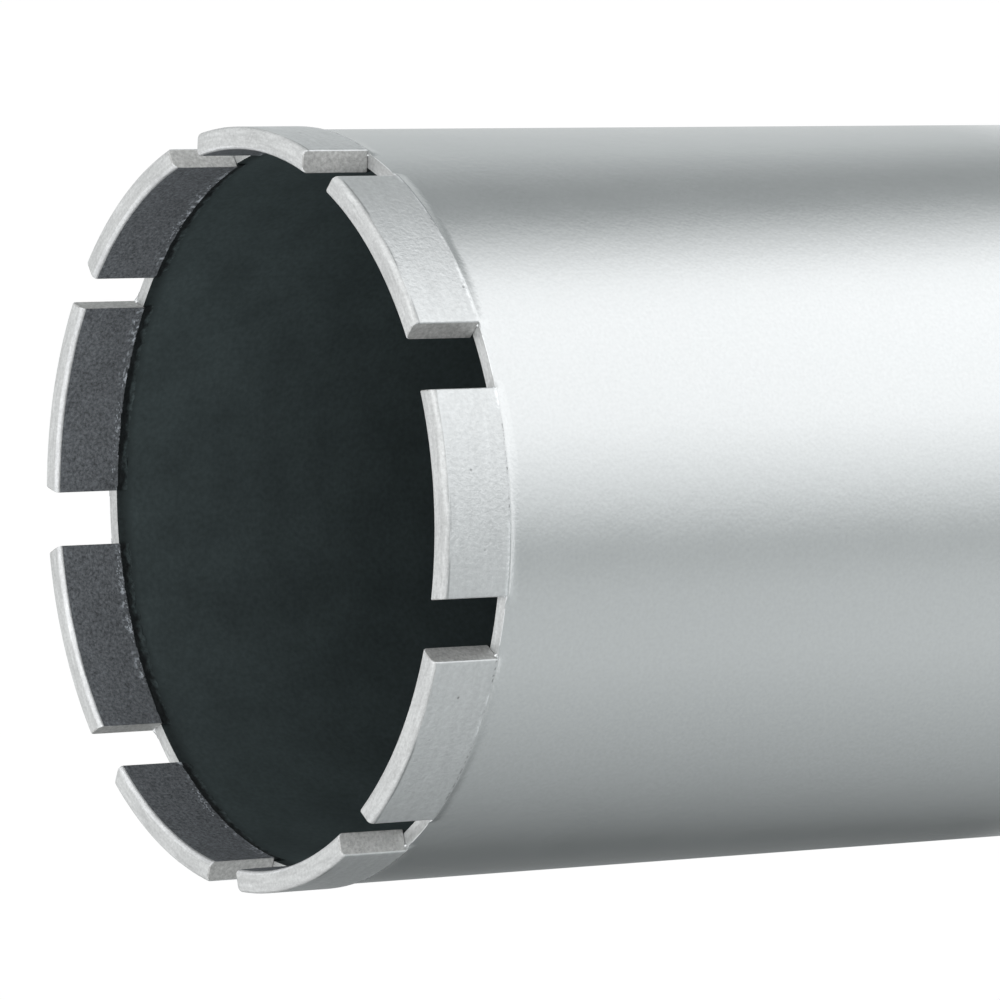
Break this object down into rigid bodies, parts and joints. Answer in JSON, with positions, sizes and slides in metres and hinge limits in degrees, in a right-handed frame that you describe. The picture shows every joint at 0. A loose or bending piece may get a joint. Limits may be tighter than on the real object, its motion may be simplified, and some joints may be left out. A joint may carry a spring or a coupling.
{
  "type": "diamond core bit",
  "caption": "Thin steel barrel with a crown of welded cutting segments, a welded end plate and a hexagon hub with a female thread, for wet drilling of masonry.",
  "frame": {"origin": "centre of the hub's flat seat face, on which the bit stands mouth up", "axes": "+Z along the bit's axis from the hub to the crown; +X through the middle of the first segment"},
  "size_m": [0.0919, 0.092, 0.188],
  "materials": {
    "silver_lacquer": "satin silver lacquer sprayed over steel",
    "machined_steel": "turned and milled bare steel",
    "segment_metal": "gritty sintered metal, sprayed silver outside and bare on the cutting face"
  },
  "bodies": {
    "root": {"barrel_tube": "silver_lacquer", "end_plate": "silver_lacquer", "plate_weld": "silver_lacquer", "hub_weld": "silver_lacquer", "hub": "machined_steel", "segment_1": "segment_metal", "segment_2": "segment_metal", "segment_3": "segment_metal", "segment_4": "segment_metal", "segment_5": "segment_metal", "segment_6": "segment_metal", "segment_7": "segment_metal", "segment_8": "segment_metal", "segment_9": "segment_metal", "segment_weld_1": "silver_lacquer", "segment_weld_2": "silver_lacquer", "segment_weld_3": "silver_lacquer", "segment_weld_4": "silver_lacquer", "segment_weld_5": "silver_lacquer", "segment_weld_6": "silver_lacquer", "segment_weld_7": "silver_lacquer", "segment_weld_8": "silver_lacquer", "segment_weld_9": "silver_lacquer"}
  },
  "joints": []
}
